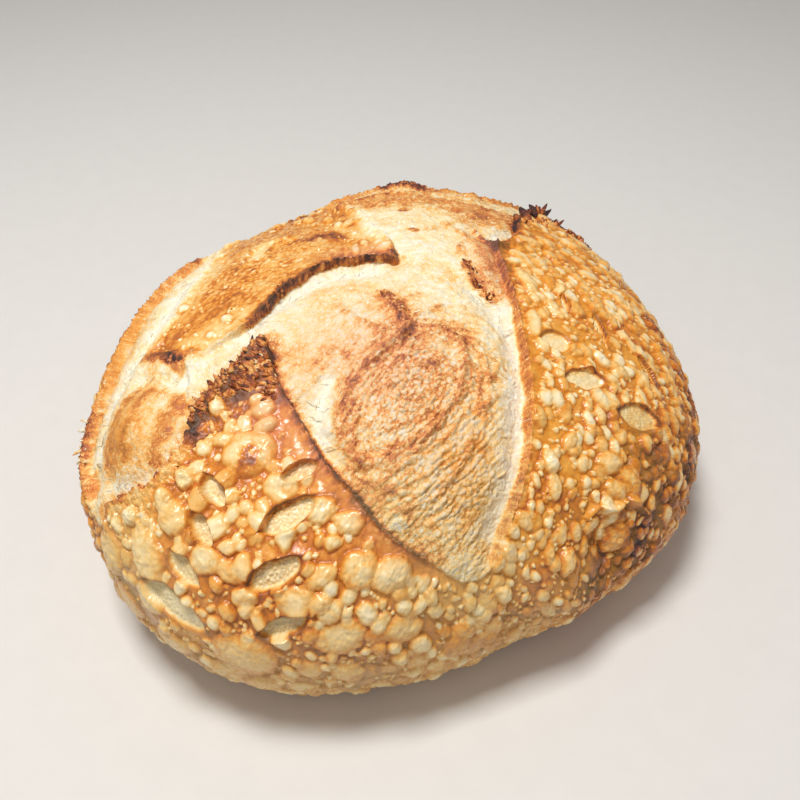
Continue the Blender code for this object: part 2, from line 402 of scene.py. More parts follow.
def on_dome(u, v):
    """Where chart points lie on the plain dome: x, y and height."""
    share, radius, height = PROFILE
    azimuth = np.arctan2(v, u)
    down = np.hypot(u, v) / CRUST_LENGTH
    reach = outline_radius(azimuth) * np.interp(down, share, radius)
    level = np.interp(down, share, height)
    lean = np.clip((level - BELLY_HEIGHT) / (HEIGHT - BELLY_HEIGHT), 0, 1)
    x = reach * np.cos(azimuth) + CROWN_SHIFT[0] * lean
    y = reach * np.sin(azimuth) + CROWN_SHIFT[1] * lean
    return np.stack([x, y, level], -1)


def dome_normals(u, v):
    step = 0.5
    across = on_dome(u + step, v) - on_dome(u - step, v)
    away = on_dome(u, v + step) - on_dome(u, v - step)
    normals = np.cross(across, away)
    return normals / np.linalg.norm(normals, axis=-1)[..., None]


def squeeze(u, v):
    """How much narrower the skin is round the loaf than on the chart."""
    share, radius, _ = PROFILE
    down = np.clip(np.hypot(u, v) / CRUST_LENGTH, 0.02, 1)
    return np.interp(down, share, radius) * MEAN_RADIUS / (down * CRUST_LENGTH)


# ---------------------------------------------------------------- the sheet


def grid_line(spacing):
    """Places from one side of the chart to the other, with the spacing wanted at each."""
    places = [-CRUST_LENGTH - 1.0]
    while places[-1] < CRUST_LENGTH + 1.0:
        places.append(places[-1] + GRID_SCALE * float(spacing(places[-1])))
    return np.array(places, np.float32)


class Sheet:
    """The chart's grid and the fields on it."""

    def __init__(self):
        self.line_u = grid_line(
            lambda u: FINE_ACROSS + (COARSE_ACROSS - FINE_ACROSS) * soft_step(abs(u), FINE_HALF_WIDTH, COARSE_HALF_WIDTH)
        )
        self.line_v = grid_line(
            lambda v: FINE_AWAY + (COARSE_AWAY - FINE_AWAY) * soft_step(v, FINE_UNTIL, COARSE_FROM)
        )
        self.u, self.v = np.meshgrid(self.line_u, self.line_v, indexing="ij")
        radius = np.hypot(self.u, self.v)
        pulled = CRUST_LENGTH / np.maximum(radius, CRUST_LENGTH)
        self.u, self.v = self.u * pulled, self.v * pulled
        self.within = radius < CRUST_LENGTH
        self.down = np.minimum(radius / CRUST_LENGTH, 1)
        self.azimuth = np.degrees(np.arctan2(self.v, self.u))
        self.solid = [axis.astype(np.float32) for axis in np.moveaxis(on_dome(self.u, self.v), -1, 0)]
        self.warp_u = self.u + 0.7 * layered(self.solid, 4.5, 51, 2)
        self.warp_v = self.v + 0.7 * layered(self.solid, 4.5, 53, 2)
        self.sway_u = self.u + 1.7 * layered(self.solid, 6.5, 57, 3, 0.6)
        self.sway_v = self.v + 1.7 * layered(self.solid, 6.5, 59, 3, 0.6)
        for name in "rise slide_u slide_v bubble blister foot hollow depths rim rift toast toasted wisps".split():
            setattr(self, name, np.zeros(self.u.shape, np.float32))
        self.free = np.ones(self.u.shape, np.float32)

    def window(self, points, margin):
        """The slices of the grid within margin of the points."""
        points = np.array(points).reshape(-1, 2)
        low, high = points.min(0) - margin, points.max(0) + margin
        return (
            slice(*np.searchsorted(self.line_u, (low[0], high[0]))),
            slice(*np.searchsorted(self.line_v, (low[1], high[1]))),
        )

    def index(self, u, v):
        return np.searchsorted(self.line_u, u), np.searchsorted(self.line_v, v)

    def stroke(self, points, width):
        """A window round a route, and how near the route each point is there, from 0 to 1."""
        line = smooth_route(points)
        window = self.window(line, 2.5 * width + 1)
        return window, fade(beside(line, self.warp_u[window], self.warp_v[window]).distance, width)


def crumb_outline():
    """The closed outline round the torn crumb."""
    rims = (
        CUTS["front right"].route[::-1],
        ((15, -111), (24, -117), (32, -116), (37, -109)),
        CUTS["right"].route[::-1],
        CUTS["right top"].route[::-1],
        ((98, 88), (98, 97), (90, 98)),
        CUTS["back"].route[::-1],
        LEFT_FLAP_TOP[::-1],
        CUTS["left"].route[::-1],
        LEFT_FLAP_SIDE[::-1],
        ((-70, 60), (-78, 62), (-86, 50)),
        CUTS["far left"].route[::-1],
        ((-98, -77), (-92, -79), (-84, -75)),
        CUTS["front left"].route[::-1],
    )
    return np.vstack([smooth_route(rim, 3)[:-1] for rim in rims])


BASE_RAG = 0.3  # how far torn edges wander, in shares of about 3 mm


def open_cuts(sheet):
    """Lifts the flaps, sinks the crumb beside them and marks where it is crumb."""
    u, v = sheet.u, sheet.v
    outline = crumb_outline()
    edge = beside(np.vstack([outline, outline[:1]]), u, v)
    sheet.clear_depth = np.where(inside(outline, u, v), edge.distance, -edge.distance)
    sheet.along = edge.along
    ragged = 0.7 * layered(sheet.solid, 6, 11) + 0.4 * layered(sheet.solid, 2.4, 12, 2)
    rag = np.full(u.shape, BASE_RAG, np.float32)
    wander = np.clip(0.9 + 1.6 * layered(sheet.solid, 8, 15, 3), 0.25, 2.4)
    nears = {name: beside(smooth_route(cut.route), u, v) for name, cut in CUTS.items()}
    for name, cut in CUTS.items():
        rag = rag + (cut.rag - BASE_RAG) * fade(nears[name].distance, 6)
    sheet.depth = sheet.clear_depth + 3 * ragged * rag
    sides = [beside(smooth_route(side), u, v).distance for side in (LEFT_FLAP_SIDE, LEFT_FLAP_TOP)]
    soft = fade(np.minimum(*sides), 7)
    torn = sheet.depth + 5 * soft * layered(sheet.solid, 5, 14, 3, 0.7)
    sheet.crumb = soft_step(torn, -0.9 - 5 * soft, -0.1 + soft)
    fallen = soft_step(sheet.depth, -0.5, 1.2 + 2.6 * fade(nears["far left"].distance, 8))
    for name, cut in CUTS.items():
        near = nears[name]
        strength = fade(near.past, 6) * soft_step(near.along, -1, cut.taper)
        flap = np.exp(-near.distance / cut.reach) * strength * (1 - fallen)
        sunk = np.exp(-near.distance / cut.bloom) * strength * fallen
        sheet.rise += cut.lift * flap - cut.drop * sunk
        lean = cut.overhang * fade(near.distance, 4.5) * strength * (1 - fallen)
        sheet.slide_u += near.right_u * lean
        sheet.slide_v += near.right_v * lean
        reach = np.where(sheet.depth > 0, cut.scorch * wander, 1.6)
        toasted = fade(np.maximum(np.abs(sheet.depth) - 0.6, 0), reach) * strength * fade(near.distance, 12)
        sheet.toast = np.where(toasted > sheet.toasted, cut.toast, sheet.toast)
        sheet.toasted = np.maximum(sheet.toasted, toasted)
        sheet.free *= soft_step(near.distance, cut.bare, cut.bare + 1.0)


def swell(sheet):
    for item in SWELLS:
        sheet.rise += item.height * fade(ellipse(sheet.u, sheet.v, item.middle, item.spread, item.turn), 1)


def sink_rifts(sheet):
    wobble = 1.5 * layered(sheet.solid, 7, 21)
    for rift in RIFTS:
        line = smooth_route(rift.route)
        window = sheet.window(line, 3 * rift.width)
        near = beside(line, sheet.u[window], sheet.v[window])
        open_here = fade(np.maximum(near.distance + wobble[window], 0), rift.width)
        sheet.rise[window] -= rift.depth * open_here * sheet.crumb[window]
        sheet.rift[window] = np.maximum(sheet.rift[window], open_here)


def ridged(noise):
    """Sharp crests where the noise crosses zero, from -1 to 1."""
    return 1 - 4 * np.abs(noise)


def roughen_crumb(sheet):
    """Torn crumb: cells round the bloom's oval fold, fibres across the torn edges, soft lumps elsewhere."""
    u, v = sheet.u, sheet.v
    along, across = turned(u, v, RING.middle, RING.spread, RING.turn)
    wave = layered(sheet.solid, 7, 31, 4, 0.7)
    out = RING_REACH * np.hypot(along, across) + 2.4 * wave
    share = np.arctan2(across, along) / (2 * math.pi) + 0.5 + 0.03 * layered(sheet.solid, 5, 32, 3, 0.7)
    first, second = cell_pattern(out / 2.4, share * CELLS_ROUND, 35, CELLS_ROUND)
    round_first, round_second = cell_pattern(u / 2.1 + 0.5 * wave, v / 2.1 - 0.5 * wave, 36)
    mixed = np.maximum(soft_step(out, 9, 5), soft_step(layered(sheet.solid, 12, 33), 0.1, 0.4))
    gap = second - first + (round_second - round_first - second + first) * mixed
    sheet.bloom = np.maximum(
        fade(ellipse(u, v, BLOOM.middle, BLOOM.spread, BLOOM.turn), 1.05),
        fade(ellipse(u, v, LOWER_BLOOM.middle, LOWER_BLOOM.spread), 1.1),
    ) * (1 - 0.95 * sheet.rift)
    fine_first, fine_second = cell_pattern(sheet.warp_u / 1.15, sheet.warp_v / 1.15, 38)
    sheet.net = 1 - soft_step(gap, 0.02, 0.34)
    sheet.fine_net = 1 - soft_step(fine_second - fine_first, 0.05, 0.4)
    fibres = ridged(layered([sheet.along / 4.4, sheet.depth / 13, np.full(u.shape, 3.0)], 1.0, 37, 3, 0.7))
    lumps = layered(sheet.solid, 9, 39, 3, 0.5)
    crests = ridged(layered(sheet.solid, 3.6, 45, 3, 0.6))
    sheet.fibres = fibres * fade(sheet.depth, 9) * (1 - 0.8 * soft_step(v, 20, 60))
    sheet.grain = 0.9 * lumps + (0.16 * crests + 0.22 * sheet.fibres) * (1 - sheet.bloom)
    sheet.grain += sheet.bloom * (0.9 * np.clip(1.5 * gap, 0, 1) - 0.5 + 0.25 * crests)
    angle = 2 * math.pi * share
    swirls = layered([out / 1.8, 2.2 * np.cos(angle), 2.2 * np.sin(angle)], 1.0, 48, 3, 0.7)
    wisps = layered([sheet.along / 1.8, sheet.depth / 9, np.full(u.shape, 5.0)], 1.0, 50, 3, 0.7) * fade(sheet.depth, 14)
    sheet.streaks = np.clip(1.8 * (wisps + (swirls - wisps) * sheet.bloom), -1, 1) * (1 - sheet.rift)
    sheet.rise += sheet.crumb * (sheet.grain + 0.3 * sheet.streaks)


WISP_COUNT = 170


def wisp_route(start, reach, length, drift):
    """A short curve round the bloom's oval fold, from an angle and a distance out."""
    angles = start + np.linspace(0, length / reach, 4)
    out = (reach + np.linspace(0, drift, 4)) / RING_REACH
    along, across = out * np.cos(angles) * RING.spread[0], out * np.sin(angles) * RING.spread[1]
    turn = math.radians(RING.turn)
    u = RING.middle[0] + along * math.cos(turn) - across * math.sin(turn)
    v = RING.middle[1] + along * math.sin(turn) + across * math.cos(turn)
    return list(zip(u, v))


def lay_strands(sheet):
    """Lays the listed strands, and fine ones at random round the bloom."""
    for strand in STRANDS:
        window, near = sheet.stroke(strand.route, strand.width)
        sheet.rise[window] += 1.4 * strand.height * near * (0.8 + 0.4 * sheet.grain[window])
    rng = np.random.default_rng(109)
    for _ in range(WISP_COUNT):
        start, reach, length, drift, width, strength = rng.uniform(
            (0, 3, 5, -4, 0.35, 0.3), (2 * math.pi, 36, 15, 4, 0.9, 1.0)
        )
        window, near = sheet.stroke(wisp_route(start, reach, length, drift), width)
        sheet.wisps[window] = np.maximum(sheet.wisps[window], strength * near)
    sheet.wisps *= sheet.crumb * (1 - sheet.rift)
    sheet.rise += 0.7 * sheet.wisps


CRUST_OFFSET = -1.3  # makes up for the blisters, which only stand out


def roughen_crust(sheet):
    """Slow unevenness and fine wrinkles of the crust."""
    lumps = layered(sheet.solid, 22, 41, 2)
    wrinkles = layered(sheet.solid, 4.5, 43, 3, 0.7)
    sheet.rise += (1 - sheet.crumb) * (CRUST_OFFSET + 1.1 * lumps + 0.55 * wrinkles)
    near = beside(smooth_route(CUTS["front left"].route), sheet.u, sheet.v).distance
    charred = np.maximum(0.5 * sheet.toasted, fade(near, 9) * (1 - sheet.crumb))
    charred = np.maximum(charred, 0.9 * fade(ellipse(sheet.u, sheet.v, (-32, -43), (8, 12), 20), 1.0))
    sheet.rise += 0.9 * charred * ridged(layered(sheet.solid, 2.8, 47, 3, 0.7))


# ---------------------------------------------------------------- blisters


def raise_blister(sheet, blister, paleness):
    """Adds one dome-shaped blister."""
    u0, v0 = blister.middle
    window = sheet.window([(u0, v0)], 2.6 * max(blister.length, blister.width))
    lobed = float(soft_step(blister.width, 1.6, 4.0)) * blister.lobes
    du = sheet.warp_u[window] * (1 - lobed) + sheet.sway_u[window] * lobed - u0
    dv = sheet.warp_v[window] * (1 - lobed) + sheet.sway_v[window] * lobed - v0
    azimuth = math.atan2(v0, u0)
    outward = du * math.cos(azimuth) + dv * math.sin(azimuth)
    sideways = (dv * math.cos(azimuth) - du * math.sin(azimuth)) * squeeze(u0, v0)
    turn = math.radians(blister.turn) - azimuth
    reach = np.hypot(
        (outward * math.cos(turn) + sideways * math.sin(turn)) / blister.length,
        (sideways * math.cos(turn) - outward * math.sin(turn)) / blister.width,
    )
    mound = np.clip(1 - reach**2, 0, None)
    covered = blister.height * np.sqrt(mound) > sheet.blister[window]
    sheet.bubble[window][covered] = (paleness * np.sqrt(mound))[covered]
    sheet.blister[window] = np.maximum(sheet.blister[window], blister.height * np.sqrt(mound))
    # A ring round each blister's foot, baked darker: partly browning, partly painted shade where the blister meets
    # the crust.
    sheet.foot[window] = np.maximum(sheet.foot[window] * (reach > 1), fade(reach - 1.08, 0.3) * (reach > 0.8))


def scatter_blisters(sheet, wanted, sizes, weight, stretch, seed, steep=0.5, turn_spread=50, veer=0):
    """Places blisters at random where weight allows, largest first, mostly clear of one another."""
    rng = np.random.default_rng(seed)
    small, large = sizes
    for size in np.sort(small + (large - small) * rng.beta(1.1, 3.6, wanted))[::-1]:
        middle = rng.uniform(-CRUST_LENGTH, CRUST_LENGTH, 2)
        row, column = sheet.index(*middle)
        chance, clear, longer, turn, proud = rng.random(5)
        if weight[row, column] < chance or (sheet.blister[row, column] > 0.3 and clear > 0.12):
            continue
        length = size * (1 + (stretch - 1) * longer)
        downhill = math.degrees(math.atan2(middle[1], middle[0]))
        turned = downhill + veer + turn_spread * (2 * turn - 1)
        height = steep * size * (0.7 + 0.6 * proud)
        raise_blister(sheet, Blister(middle, length, size, turned, height), 0.1 + 1.0 * rng.random() ** 0.8)


def blister_crust(sheet):
    u, v = sheet.u, sheet.v
    crust = (sheet.depth < -1.8) & (sheet.down < 0.93) & sheet.within
    sheet.left_flap = fade(ellipse(u, v, (-45, 20), (40, 60), -20), 1.0)
    patchy = soft_step(layered(sheet.solid, 14, 55, 2), -0.6, 0.1)
    common = crust * (1 - np.clip(1.3 * sheet.left_flap, 0, 1)) * sheet.free
    common = common * (1 - 0.85 * fade(ellipse(u, v, (-92, -112), (30, 26), 30), 1.0))
    right = soft_step(u, 44, 52) * (v > -112)
    front = (v < -45) * (u < 44)
    low = soft_step(sheet.down, 0.64, 0.76)
    for blister in BIG_BLISTERS:
        raise_blister(sheet, blister, 0.75)
    scatter_blisters(sheet, 1500, (3.2, 7.0), common * patchy * low * (0.4 + 0.6 * front), 1.5, 61, 0.34)
    scatter_blisters(sheet, 15000, (1.1, 4.2), common * (0.25 + 0.75 * patchy) * front, 1.5, 63, 0.7)
    scatter_blisters(sheet, 16000, (1.0, 3.9), common * (0.2 + 0.8 * patchy) * right, 1.9, 65, 0.7, 25, -45)
    scatter_blisters(sheet, 9000, (1.2, 3.4), common * patchy * (1 - front) * (1 - right), 1.7, 67, 0.6)
    scatter_blisters(sheet, 26000, (0.6, 1.2), common * (0.3 + 0.7 * patchy), 1.3, 69, 0.85)
    scatter_blisters(sheet, 5000, (0.5, 1.1), crust * sheet.left_flap, 1.5, 71, 0.4)
    creases = ridged(layered([sheet.warp_u, sheet.warp_v, sheet.v * 0], 3.6, 73, 3, 0.6))
    sheet.rise += (1 - sheet.crumb) * sheet.blister * (0.88 + 0.12 * creases) * (1 - sheet.hollow)


def score_leaves(sheet):
    """Sinks the leaf-shaped marks, with a raised rim and an undercut upper edge, and paints shade inside under that
    edge.
    """
    for leaf in LEAVES:
        window = sheet.window([leaf.middle], 2 * leaf.length)
        places = sheet.warp_u[window], sheet.warp_v[window]
        along, across = turned(*places, leaf.middle, (leaf.length, leaf.width), leaf.turn)
        gap = np.hypot(along, across)
        sunk = soft_step(gap, 1.0, 0.82)
        first, second = cell_pattern(sheet.sway_u[window] / 1.4, sheet.sway_v[window] / 1.4, 75)
        grains = 0.7 * leaf.depth * np.clip(1.5 * (second - first), 0, 1)
        crust = 1 - sheet.crumb[window]
        sheet.rise[window] += crust * (0.5 * fade(gap - 1.12, 0.16) + sunk * (grains - 2.4 * leaf.depth))
        sheet.hollow[window] = np.maximum(sheet.hollow[window], sunk)
        veins = 1 - soft_step(second - first, 0.05, 0.5)
        # The upper part of each hollow, under the undercut edge, is baked darker: painted shade. The veins are darker
        # lines of the hollow's own grains.
        sheet.depths[window] += sunk * (0.42 * leaf.depth * soft_step(across, 0.1, 0.9) + 0.10 * veins)
        # The rim is baked darker, most on its upper side: its own browning, with painted shade along the undercut
        # edge.
        rim = fade(gap - 0.98, 0.10) * (0.3 + 0.7 * soft_step(across, -0.3, 0.5))
        sheet.rim[window] = np.maximum(sheet.rim[window], rim)
        sheet.free[window] *= soft_step(gap, 1.05, 1.25)
        lean = 1.2 * leaf.depth * fade(gap - 1.12, 0.25) * soft_step(across, 0.0, 0.4)
        sheet.slide_u[window] += lean * math.sin(math.radians(leaf.turn))
        sheet.slide_v[window] -= lean * math.cos(math.radians(leaf.turn))


# ---------------------------------------------------------------- baking and painted shade


# Where the crust or crumb is baked darker than its surroundings, and lighter where the change is negative; the rows
# marked below also paint shade and light: route, half-width and change
Toned = namedtuple("Toned", "route width change")

TONES = (
    Toned(((-31, -33), (-32, -42), (-36, -49)), 4.5, 0.42),
    Toned(((-38, -46), (-46, -52), (-50, -58)), 2.6, 0.26),
    Toned(((-28, -47), (-20, -64), (-10, -84), (0, -99), (12, -109)), 2.0, 0.16),
    # This row lightens the scorched band along the step below the left crumb bump: partly less scorch, partly painted
    # light over the step's shadow.
    Toned(((-54, -62), (-60, -70), (-70, -74), (-84, -76)), 3.6, -0.28),
    Toned(((38, 26), (40, 12), (42, -2)), 6.5, 0.34),
    Toned(((-31, -40), (-35, -50), (-42, -58)), 9.0, 0.13),
    Toned(((-36, -38), (-43, -43), (-51, -51)), 3.2, 0.22),
    Toned(((31, 6), (33, 0), (36, -6), (41, -10)), 2.2, 0.34),
    Toned(((53, 60), (60, 68), (68, 70)), 3.4, 0.30),
    Toned(((55, 51), (63, 60), (74, 64), (84, 71)), 6.5, 0.16),
    Toned(((-41, -22), (-36, -14), (-32, -6), (-26, 1), (-19, 6)), 1.4, 0.28),
    Toned(((-16, 9), (-4, 10), (8, 9)), 2.0, 0.28),
    Toned(((3, -15), (8, -21), (10, -28)), 2.6, 0.20),
    Toned(((-70, -42), (-77, -52), (-84, -60)), 8.5, 0.22),
    Toned(((-72, -60), (-80, -62)), 7.0, 0.14),
    Toned(((-107, -50), (-104, -30), (-103, -10), (-102, 8), (-100, 22), (-95, 36), (-89, 48)), 3.6, 0.26),
    Toned(((-58, -49), (-61, -57), (-63, -66)), 4.0, 0.34),
    Toned(((-73, -34), (-79, -46), (-83, -58)), 1.6, 0.16),
    Toned(((-68, -38), (-73, -50), (-76, -64)), 1.4, 0.18),
    Toned(((-78, -38), (-84, -50), (-88, -62)), 1.3, 0.14),
    Toned(((-92, -76), (-80, -73), (-66, -70)), 4.0, 0.14),
    Toned(((-52, -59), (-50, -64)), 2.2, 0.26),
    Toned(((-80, -25), (-70, -29), (-57, -31)), 2.8, 0.42),
    Toned(((-66, -30), (-60, -36)), 2.4, 0.34),
    Toned(((-68, -18), (-58, -8), (-50, 4)), 12.0, 0.05),
    Toned(((103, 40), (108, 18), (112, 4), (121, -6), (130, -14)), 5.0, 0.30),
    Toned(((128, -8), (131, -24), (124, -46)), 12.0, 0.36),
    # The next two rows darken the lower right side: the first is partly the crust's own darker colour and partly
    # painted shade, the second is painted shade.
    Toned(((122, -40), (118, -70), (108, -100)), 15.0, 0.18),
    Toned(((94, -62), (98, -90), (82, -118)), 16.0, 0.30),
    Toned(((2, -114), (16, -122), (34, -122), (46, -104)), 7.0, -0.14),
    Toned(((2, 76), (7, 77), (13, 75)), 4.0, 0.34),
    Toned(((8, 46), (10, 46)), 1.8, 0.44),
    Toned(((12, 27), (13, 27)), 1.6, 0.34),
    Toned(((17, 28), (19, 29)), 2.2, 0.22),
    Toned(((-6, 60), (14, 58), (30, 54), (44, 50)), 11.0, 0.30),
    Toned(((30, 40), (36, 44)), 6.0, 0.16),
    Toned(((-16, -12), (-8, -8), (-2, -14)), 6.0, 0.07),
    Toned(((20, 4), (26, -2)), 6.0, 0.09),
    Toned(((33, -36), (36, -48), (34, -60), (30, -72)), 6.0, 0.06),
    Toned(((-8, -52), (-10, -62), (-8, -76), (2, -85)), 5.0, 0.11),
    Toned(((0, -45), (9, -38), (20, -36), (28, -40)), 5.5, 0.13),
    Toned(((6, -20), (10, -28), (9, -36)), 6.0, 0.14),
    Toned(((-10, -38), (-3, -33), (2, -36)), 6.0, 0.06),
    Toned(((29, -78), (22, -90), (12, -96)), 7.0, 0.05),
    Toned(((-2, -88), (8, -96), (16, -106)), 5.0, 0.14),
    Toned(((28, -92), (24, -104)), 6.0, 0.12),
    Toned(((-34, -69.5), (-35, -72)), 2.9, 0.80),
    Toned(((-101, 16), (-98, 28), (-93, 40), (-87, 50)), 3.0, 0.30),
    Toned(((-35, 27), (-28, 31), (-20, 34), (-15, 28)), 4.0, 0.20),
    Toned(((-13, 43), (-6, 39), (0, 34)), 4.0, 0.14),
    Toned(((-48, 20), (-47, 27), (-43, 32)), 3.0, -0.24),
    Toned(((-17, 38), (-11, 31), (-5, 26)), 3.0, -0.26),
    Toned(((-60, -27), (-50, -24), (-43, -20)), 6.0, -0.18),
    Toned(((-67, 34), (-67, 6), (-71, -12)), 5.0, -0.12),
    Toned(((5, 10), (0, 24), (-6, 38), (-12, 56)), 4.0, -0.18),
    Toned(((-44, 67), (-36, 71), (-30, 71)), 3.0, 0.30),
    Toned(((88, -100), (78, -104), (72, -112)), 8.0, -0.10),
    Toned(((8, -94), (20, -88), (30, -74)), 11.0, -0.09),
    Toned(((-72, -84), (-76, -96), (-70, -116)), 11.0, -0.13),
)


# Where the crumb and the crust are pinker, paler or more golden: middle, half-widths and turn
Tint = namedtuple("Tint", "middle spread turn")

PINK_CRUMB = (Tint((2, -46), (26, 30), 30), Tint((40, 10), (8, 20), 10))
PINK_CRUST = (Tint((-28, -58), (9, 16), 20), Tint((-2, 12), (18, 6), 0))
PALE_CRUST = (Tint((24, -122), (26, 14), 0), Tint((-88, -96), (24, 24), 40))
GOLDEN_CRUMB = (Tint((28, -86), (16, 22), 0), Tint((-78, -56), (15, 17), 30), Tint((-96, -10), (8, 40), 0))


def tinted(sheet, tints):
    return np.maximum.reduce([fade(ellipse(sheet.u, sheet.v, *tint), 1.0) for tint in tints])


def bake(sheet, places):
    """How dark each point is baked, how pink, and how pale and clear; places are the bent points. The darkness also
    holds painted shade: down the lower sides, in hollows, and partly at blister feet and leaf edges.
    """
    u, v = sheet.u, sheet.v
    patches = layered(places, 20, 81, 3)
    mottle = layered(places, 5, 83, 4, 0.65)
    flecks = layered(places, 1.8, 85, 3, 0.7)
    low_front = soft_step(sheet.down, 0.62, 0.84) * soft_step(v, -60, -110)
    base_rim = soft_step(sheet.down, 0.86, 0.97)
    # The crust is baked darker down the lower sides: painted shade. The base rim darkens further, partly its own
    # browning and partly painted shade.
    crust = 0.49 + 0.13 * patches + 0.10 * mottle + 0.05 * flecks - 0.04 * low_front + 0.27 * base_rim
    crust += 0.14 * soft_step(sheet.down, 0.45, 0.80) + 0.12 * sheet.foot - 0.44 * sheet.bubble
    first, second = cell_pattern(sheet.warp_u / 1.9, sheet.warp_v / 1.9, 87)
    spots = soft_step(first, 0.5, 0.2) + 0.6 * soft_step(second - first, 0.15, 0.02)
    crust += sheet.left_flap * (0.22 * mottle + 0.12 * flecks - 0.20 * spots + 0.06)
    # The leaves' hollows take their inner tone, darker under the upper edge from painted shade; their rims add
    # browning and painted shade.
    inner = 0.10 + 0.06 * mottle + 0.08 * flecks + sheet.depths
    crust += (inner - crust) * sheet.hollow + 0.36 * sheet.rim
    # Where the crumb's grain dips it is baked darker and warmer: painted shade in its hollows.
    crumb = 0.15 + 0.07 * patches + 0.13 * mottle + 0.10 * flecks - 0.11 * sheet.grain + 0.13 * sheet.streaks
    crumb += sheet.bloom * (-0.14 + 0.12 * patches + 0.10 * mottle + 0.11 * sheet.fine_net) - 0.15 * sheet.rift
    crumb += sheet.bloom * sheet.net * np.clip(0.15 + 0.30 * mottle, 0.0, 0.4)
    sheet.bake = sheet.crumb * crumb + (1 - sheet.crumb) * crust
    torn = sheet.toast * (1 + 0.5 * mottle + 0.4 * flecks + 0.35 * sheet.fibres)
    sheet.bake += (torn - sheet.bake) * sheet.toasted
    for tone in TONES:
        window, near = sheet.stroke(tone.route, tone.width)
        broken = near * (1 + 0.9 * mottle[window] + 0.7 * flecks[window])
        sheet.bake[window] += tone.change * soft_step(broken, 0.0, 1.0) * (1 - 0.6 * sheet.bubble[window])
    sheet.bake += 0.18 * sheet.wisps
    folds = 0.8 * sheet.wisps
    for strand in STRANDS:
        window, near = sheet.stroke(strand.route, 1.3 * strand.width)
        streaks = np.clip(0.6 + 1.2 * mottle[window] + 1.0 * flecks[window], 0, 1.2)
        sheet.bake[window] += 0.85 * strand.change * near * streaks
        folds[window] = np.maximum(folds[window], near)
    crust = 1 - sheet.crumb
    sheet.blush = sheet.crumb * (1 - sheet.rift) * np.maximum(tinted(sheet, PINK_CRUMB), sheet.bloom * folds)
    sheet.blush += crust * tinted(sheet, PINK_CRUST)
    ridge = fade(beside(smooth_route(CUTS["front right"].route), u, v).distance, 5)
    sheet.blush = np.clip(sheet.blush + 0.8 * ridge * crust, 0, 1)
    low = soft_step(sheet.down, 0.60, 0.80) * soft_step(v, -45, -85) * soft_step(u, 96, 60)
    sheet.pale = crust * np.maximum(low, tinted(sheet, PALE_CRUST)) * (1 - 0.5 * sheet.bubble)
    sheet.pale += 0.3 * sheet.hollow
    sheet.pale = np.clip(sheet.pale + 0.5 * sheet.crumb * soft_step(v, -74, -96), 0, 1)
    amber = soft_step(layered(places, 15, 89, 3), -0.5, 0.2) * (0.4 + 0.6 * soft_step(u, -20, 40))
    amber = amber * (1 - tinted(sheet, PINK_CRUST))
    amber = amber * crust * (1 - sheet.hollow) * (1 - 0.4 * sheet.left_flap) * (1 - np.clip(sheet.bubble, 0, 1))
    sheet.amber = np.clip(amber + sheet.crumb * (1 - sheet.rift) * tinted(sheet, GOLDEN_CRUMB), 0, 1)
    sheet.bake = np.clip(sheet.bake, 0, 1)


# ---------------------------------------------------------------- meshes


def surface_normals(points):
    normals = np.cross(np.gradient(points, axis=0), np.gradient(points, axis=1))
    return normals / np.maximum(np.linalg.norm(normals, axis=-1), 1e-12)[..., None]


def bend(sheet):
    """The sheet's points on the loaf in metres, and its normals."""
    firm = soft_step(sheet.down, 1.0, FIRM_BASE)
    u = sheet.u + sheet.slide_u * firm
    v = sheet.v + sheet.slide_v * firm
    points = on_dome(u, v) + dome_normals(u, v) * (sheet.rise * firm)[..., None]
    places = list(np.moveaxis(points, -1, 0))
    torn = 0.30 * layered(places, 4, 95, 3, 0.6) + 0.14 * ridged(layered(places, 2.0, 97, 2, 0.6))
    points = points + surface_normals(points) * (torn * sheet.crumb * firm)[..., None]
    points[..., 2] = np.maximum(points[..., 2], 0)
    bake(sheet, list(np.moveaxis(points, -1, 0)))
    plan = points[sheet.within][:, :2]
    shift = MIDDLE[:2] - (plan.min(0) + plan.max(0)) / 2 * MM
    return points * MM + [shift[0], shift[1], LOW[2]], surface_normals(points)


def grid_cells(sheet):
    """The corners of every grid cell that lies at least partly inside the chart."""
    numbers = np.arange(sheet.u.size).reshape(sheet.u.shape)
    corners = np.stack([numbers[:-1, :-1], numbers[1:, :-1], numbers[1:, 1:], numbers[:-1, 1:]], -1)
    return corners[sheet.within.ravel()[corners].any(-1)]


def make_mesh(name, points, faces, normals=None):
    """A mesh from arrays; faces is a list of arrays, each of faces with the same number of corners."""
    mesh = bpy.data.meshes.new(name)
    loops = np.concatenate([group.ravel() for group in faces])
    counts = np.concatenate([np.full(len(group), group.shape[1]) for group in faces])
    mesh.vertices.add(len(points))
    mesh.vertices.foreach_set("co", points.astype(np.float32).ravel())
    mesh.loops.add(len(loops))
    mesh.loops.foreach_set("vertex_index", loops.astype(np.int32))
    mesh.polygons.add(len(counts))
    mesh.polygons.foreach_set("loop_start", np.concatenate([[0], np.cumsum(counts)[:-1]]).astype(np.int32))
    mesh.update(calc_edges=True)
    mesh.shade_smooth()
    if normals is not None:
        mesh.normals_split_custom_set_from_vertices(normals.astype(np.float32))
    piece = bpy.data.objects.new(name, mesh)
    bpy.context.scene.collection.objects.link(piece)
    return piece


def add_field(piece, name, values):
    piece.data.attributes.new(name, "FLOAT", "POINT").data.foreach_set("value", values.astype(np.float32))


def rim_edges(cells):
    """The edges that only one of the cells has, in that cell's direction."""
    starts = cells.ravel()
    ends = np.roll(cells, -1, axis=1).ravel()
    whole = int(cells.max()) + 1
    lone = ~np.isin(starts * whole + ends, ends * whole + starts)
    return starts[lone], ends[lone]


